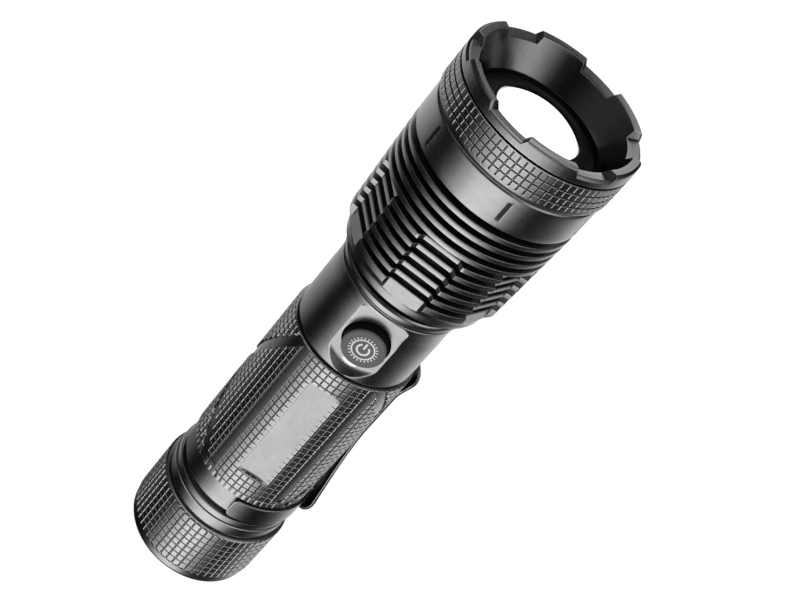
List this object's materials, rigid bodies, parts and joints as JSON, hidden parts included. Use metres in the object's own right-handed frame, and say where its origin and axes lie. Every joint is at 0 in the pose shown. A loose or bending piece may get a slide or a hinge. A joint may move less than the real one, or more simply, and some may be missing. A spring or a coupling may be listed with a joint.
{
  "type": "tactical flashlight",
  "caption": "Handheld zoom flashlight with a crenellated bezel, finned sliding head, side switch, knurled grip, pocket clip and screw-off tail cap.",
  "frame": {"origin": "centre of the flat face of the tail cap", "axes": "+Z along the barrel towards the bezel; the side switch faces -Y"},
  "size_m": [0.0462, 0.0462, 0.1725],
  "materials": {
    "anodised_alloy": "black anodised, satin",
    "anodised_bezel": "black anodised, satin",
    "machined_alloy": "machined, bare",
    "clip_steel": "black oxide",
    "lens": "polished",
    "black_rubber": "matt",
    "grey_silicone": "matt with a printed power symbol",
    "black_plastic": "moulded",
    "board": "solder mask",
    "white_board": "white solder mask",
    "phosphor": "silicone over phosphor",
    "brass": "machined",
    "plated_spring": "plated wire",
    "cell_wrap": "shrink film",
    "cell_steel": "drawn can",
    "nickel": "nickel plated",
    "insulator": "fibre paper",
    "switch_shell": "plain"
  },
  "bodies": {
    "grip": {"grip_tube": "anodised_alloy", "front_o_ring": "black_rubber", "rear_o_ring": "black_rubber", "cell_can": "cell_steel", "cell_cap": "nickel", "cell_insulator": "insulator", "cell_wrap": "cell_wrap", "switch_collar": "anodised_alloy", "switch_seal": "black_rubber", "switch_body": "switch_shell", "switch_board": "board", "switch_carrier": "black_plastic", "front_contact_board": "board", "front_contact_spring": "plated_spring", "driver_board": "board", "driver_ring": "brass", "led_pill": "machined_alloy", "led_board": "white_board", "led_emitter": "phosphor", "zoom_stop_ring": "plated_spring", "zoom_o_ring": "black_rubber"},
    "head": {"zoom_head": "anodised_alloy", "lens_gasket": "black_rubber", "front_lens": "lens", "lens_retainer": "black_plastic", "strike_bezel": "anodised_bezel", "bezel_o_ring": "black_rubber"},
    "button": {"switch_button": "grey_silicone", "switch_plunger": "black_plastic"},
    "tail_contact_unit": {"tail_contact": "brass", "tail_retaining_ring": "machined_alloy"},
    "tail": {"tail_cap": "anodised_alloy", "tail_spring": "plated_spring"},
    "clip": {"pocket_clip": "clip_steel"}
  },
  "joints": [
    {"name": "zoom", "type": "slide", "parent": "grip", "child": "head", "axis": [0, 0, 1], "range_m": [0, 0.012]},
    {"name": "press", "type": "slide", "parent": "grip", "child": "button", "axis": [0, 1, 0], "range_m": [0, 0.0008], "stiffness_N_per_m": 1500, "springref_m": -0.0004},
    {"name": "tail_back_off", "type": "slide", "parent": "grip", "child": "tail_contact_unit", "axis": [0, 0, -1], "range_m": [0, 0.0129]},
    {"name": "tail_unscrew", "type": "hinge", "parent": "tail_contact_unit", "child": "tail", "pos_m": [0, 0, 0], "axis": [0, 0, -1], "range_deg": [0, 2880]},
    {"name": "clip_turn", "type": "hinge", "parent": "grip", "child": "clip", "pos_m": [0, 0, 0.032], "axis": [0, 0, 1], "range_deg": [-180, 180]}
  ],
  "couplings": [
    {"joint": "tail_back_off", "follows": "tail_unscrew", "m_per_rad": 0.00025465}
  ]
}
